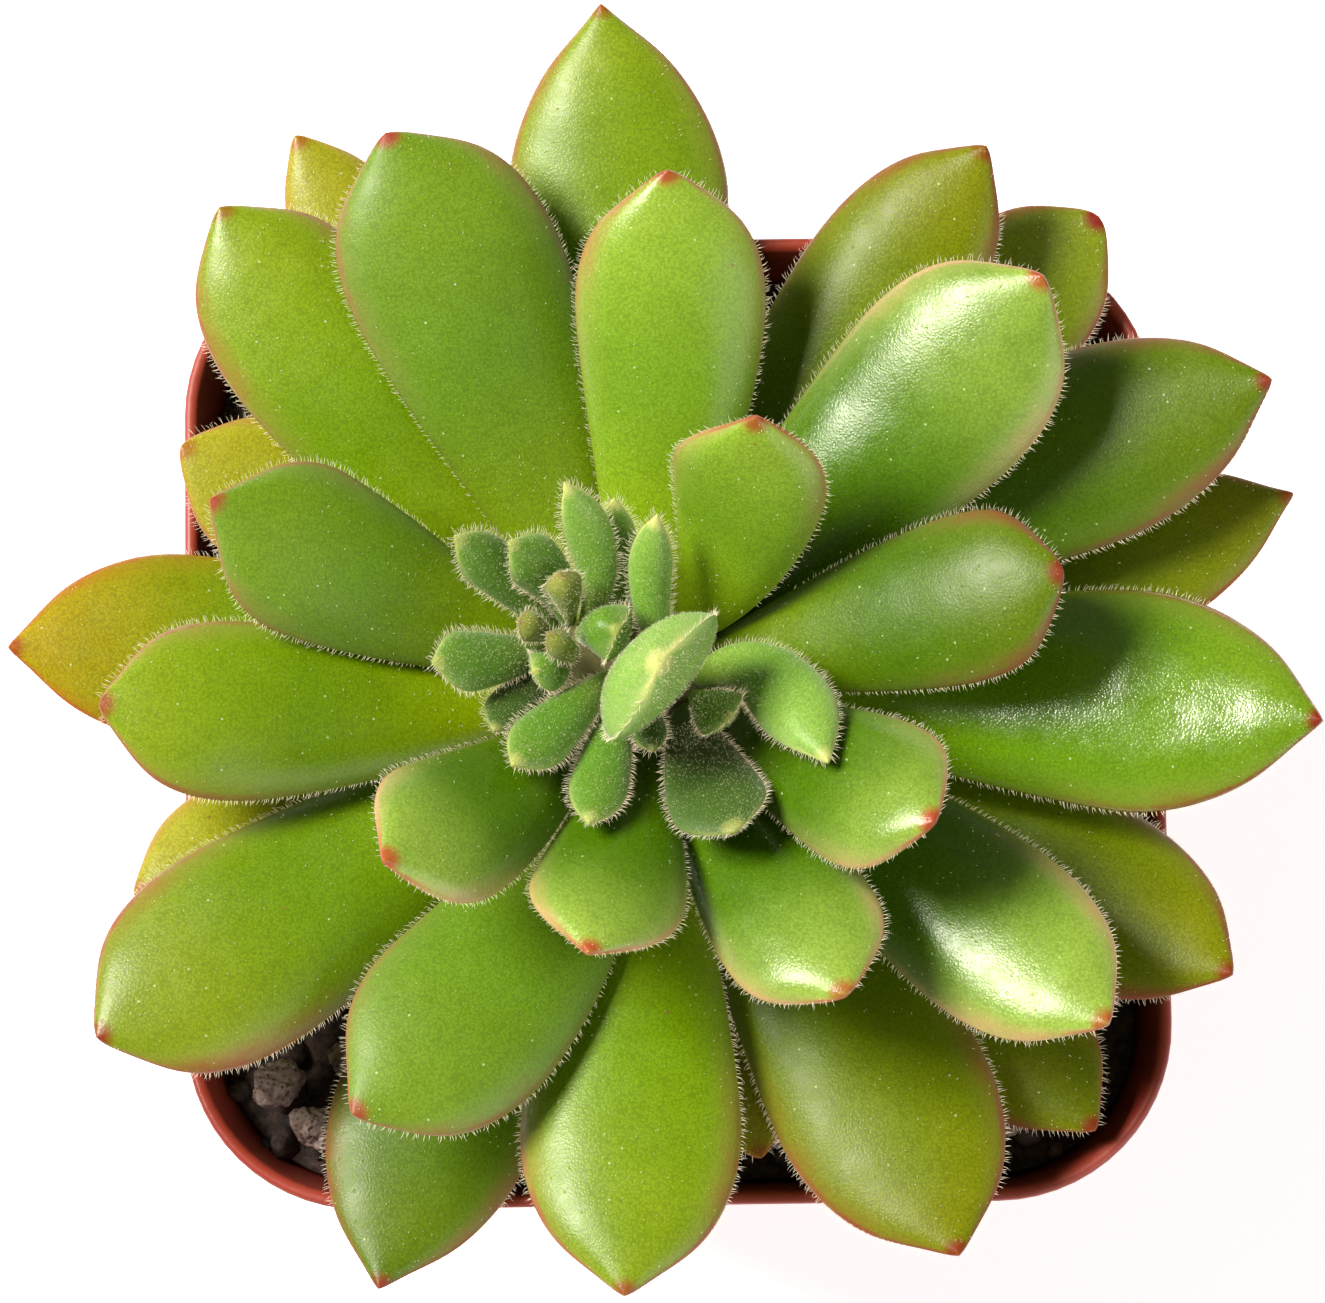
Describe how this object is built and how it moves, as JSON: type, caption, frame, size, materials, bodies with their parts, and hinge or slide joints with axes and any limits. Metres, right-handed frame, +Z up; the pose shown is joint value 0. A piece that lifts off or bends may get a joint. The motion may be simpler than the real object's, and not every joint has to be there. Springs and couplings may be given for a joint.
{
  "type": "potted succulent",
  "caption": "Fleshy-leaved rosette succulent with fringed, red-tipped leaves and a double crown, rooted in soil in a small square tapered plastic nursery pot.",
  "frame": {"origin": "centre of the underside of the pot", "axes": "+Z up out of the pot; +X and +Y along the pot's sides; +Y towards the side with the tallest outer leaf"},
  "size_m": [0.0837, 0.0846, 0.0848],
  "materials": {
    "pot_plastic": "satin terracotta-coloured moulded plastic",
    "potting_mix": "matte dark peat and bark fines",
    "stem_bark": "matte",
    "pumice": "matte porous",
    "leaf_green": "satin fleshy leaf with fine hairs",
    "leaf_old": "satin fleshy leaf, yellow to orange at the ends",
    "leaf_young": "satin fleshy leaf, densely haired"
  },
  "bodies": {
    "root": {"pot": "pot_plastic", "soil": "potting_mix", "stone_1": "pumice", "stone_2": "pumice", "stone_3": "pumice", "stone_4": "pumice", "stone_5": "pumice", "stone_6": "pumice", "stone_7": "pumice", "leaf_low_1": "leaf_old", "leaf_low_2": "leaf_old", "leaf_low_3": "leaf_old", "leaf_low_4": "leaf_old", "leaf_low_5": "leaf_old", "leaf_low_6": "leaf_old", "leaf_low_7": "leaf_old", "leaf_low_8": "leaf_old", "leaf_low_9": "leaf_old", "leaf_outer_5": "leaf_green", "leaf_outer_3": "leaf_green", "leaf_outer_2": "leaf_green", "leaf_outer_1": "leaf_green", "leaf_outer_12": "leaf_green", "leaf_outer_13": "leaf_green", "leaf_outer_11": "leaf_green", "leaf_outer_10": "leaf_green", "leaf_outer_8": "leaf_green", "leaf_outer_9": "leaf_green", "leaf_outer_7": "leaf_green", "leaf_outer_4": "leaf_green", "leaf_outer_6": "leaf_green", "leaf_middle_4": "leaf_green", "leaf_middle_2": "leaf_green", "leaf_middle_8": "leaf_green", "leaf_middle_1": "leaf_green", "leaf_middle_7": "leaf_green", "leaf_middle_9": "leaf_green", "leaf_middle_6": "leaf_green", "leaf_middle_5": "leaf_green", "leaf_middle_3": "leaf_green", "stem": "stem_bark", "leaf_inner_1": "leaf_young", "leaf_inner_2": "leaf_young", "leaf_inner_12": "leaf_young", "leaf_inner_3": "leaf_young", "leaf_inner_4": "leaf_young", "leaf_inner_5": "leaf_young", "leaf_inner_14": "leaf_young", "leaf_inner_6": "leaf_young", "leaf_inner_7": "leaf_young", "leaf_inner_8": "leaf_young", "leaf_inner_9": "leaf_young", "leaf_inner_13": "leaf_young", "leaf_inner_10": "leaf_young", "leaf_bud_1": "leaf_young", "leaf_bud_2": "leaf_young", "leaf_bud_5": "leaf_young", "leaf_bud_3": "leaf_young", "leaf_bud_4": "leaf_young", "leaf_inner_11": "leaf_young"}
  },
  "joints": []
}
